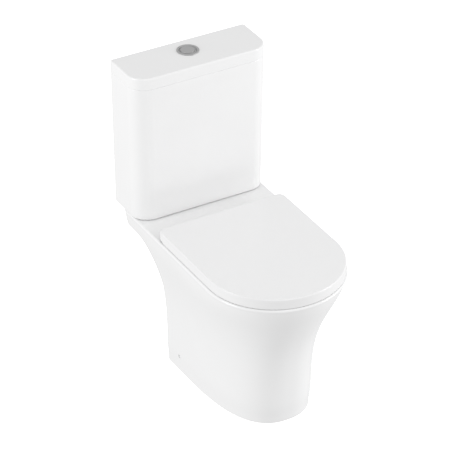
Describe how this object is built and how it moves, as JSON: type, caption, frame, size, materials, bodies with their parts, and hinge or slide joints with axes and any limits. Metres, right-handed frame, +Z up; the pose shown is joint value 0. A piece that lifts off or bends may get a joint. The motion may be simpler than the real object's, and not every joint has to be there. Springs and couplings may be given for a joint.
{
  "type": "close coupled toilet",
  "caption": "Close coupled toilet with an open-back pan, a slim cistern with a dual flush button, and a wrap-over seat.",
  "frame": {"origin": "on the floor, in the middle of the object's footprint", "axes": "+X to the right seen from the front, -Y towards the user, +Y towards the wall, +Z up"},
  "size_m": [0.384, 0.6611, 0.8182],
  "materials": {
    "glaze": "high gloss white glaze",
    "seat_plastic": "gloss white",
    "satin_chrome": "satin",
    "valve_white": "moulded",
    "valve_blue": "moulded",
    "steel": "bright zinc",
    "black_rubber": "matt",
    "clear_rubber": "matt translucent"
  },
  "bodies": {
    "pan_and_cistern": {"pan": "glaze", "cistern": "glaze", "cistern_pads": "black_rubber", "doughnut_washer": "black_rubber", "coupling_plate": "steel", "flush_valve_backnut": "valve_white", "coupling_bolts": "steel", "coupling_bolt_seals": "black_rubber", "coupling_washers": "steel", "coupling_wing_nuts": "steel", "flush_valve_base": "valve_white", "flush_valve_base_seal": "black_rubber", "flush_valve_cage": "valve_white", "flush_valve_cap": "valve_blue", "flush_lever_pin": "steel", "fill_valve_stem": "valve_white", "fill_valve_seal": "black_rubber", "fill_valve_backnut": "valve_white", "fill_valve_head": "valve_white", "fill_valve_cap": "valve_blue", "fill_valve_outlet": "valve_white", "fill_valve_lever_pin": "steel", "hinge_bases": "satin_chrome", "hinge_pins": "steel", "hinge_bolts": "steel", "hinge_washers": "black_rubber", "hinge_nuts": "valve_white", "floor_brackets": "valve_white", "floor_screws": "steel", "side_screws": "steel", "side_caps": "seat_plastic"},
    "cistern_lid": {"cistern_lid": "glaze", "button_rim": "satin_chrome", "button_nut": "valve_white", "full_flush_spring": "steel", "half_flush_spring": "steel"},
    "full_flush_button": {"full_flush_button": "satin_chrome", "full_flush_rod": "valve_white"},
    "half_flush_button": {"half_flush_button": "satin_chrome", "half_flush_rod": "valve_white"},
    "flush_lever": {"flush_lever": "valve_blue"},
    "flush_riser": {"overflow_tube": "valve_white", "flush_seal": "clear_rubber"},
    "float": {"fill_valve_float": "valve_blue", "float_rod": "steel"},
    "fill_lever": {"fill_valve_lever": "valve_white"},
    "seat_ring": {"seat_ring": "seat_plastic", "ring_buffers": "clear_rubber"},
    "seat_lid": {"seat_lid": "seat_plastic", "lid_buffers": "clear_rubber"}
  },
  "joints": [
    {"name": "cistern_lid_lift", "type": "slide", "parent": "pan_and_cistern", "child": "cistern_lid", "axis": [0, 0, 1], "range_m": [0, 0.12]},
    {"name": "full_flush", "type": "slide", "parent": "cistern_lid", "child": "full_flush_button", "axis": [0, 0, -1], "range_m": [0, 0.005], "stiffness_N_per_m": 300, "springref_m": -0.003, "deforming": ["full_flush_spring"]},
    {"name": "half_flush", "type": "slide", "parent": "cistern_lid", "child": "half_flush_button", "axis": [0, 0, -1], "range_m": [0, 0.005], "stiffness_N_per_m": 300, "springref_m": -0.003, "deforming": ["half_flush_spring"]},
    {"name": "flush_lever_rock", "type": "hinge", "parent": "pan_and_cistern", "child": "flush_lever", "pos_m": [0, 0.267, 0.658], "axis": [1, 0, 0], "range_deg": [0, 27.5]},
    {"name": "flush_riser_lift", "type": "slide", "parent": "pan_and_cistern", "child": "flush_riser", "axis": [0, 0, 1], "range_m": [0, 0.0095]},
    {"name": "float_travel", "type": "slide", "parent": "pan_and_cistern", "child": "float", "axis": [0, 0, 1], "range_m": [-0.008, 0]},
    {"name": "fill_lever_rock", "type": "hinge", "parent": "pan_and_cistern", "child": "fill_lever", "pos_m": [0.157, 0.263, 0.734], "axis": [0, 1, 0], "range_deg": [-12, 0]},
    {"name": "seat_ring_hinge", "type": "hinge", "parent": "pan_and_cistern", "child": "seat_ring", "pos_m": [0, 0.101, 0.421], "axis": [1, 0, 0], "range_deg": [-98, 0]},
    {"name": "seat_lid_hinge", "type": "hinge", "parent": "seat_ring", "child": "seat_lid", "pos_m": [0, 0.101, 0.421], "axis": [-1, 0, 0], "range_deg": [0, 98]}
  ],
  "couplings": [
    {"joint": "flush_lever_rock", "follows": "full_flush", "rad_per_m": 94},
    {"joint": "flush_riser_lift", "follows": "full_flush", "ratio": 1.84},
    {"joint": "fill_lever_rock", "follows": "float_travel", "rad_per_m": 25.6}
  ]
}
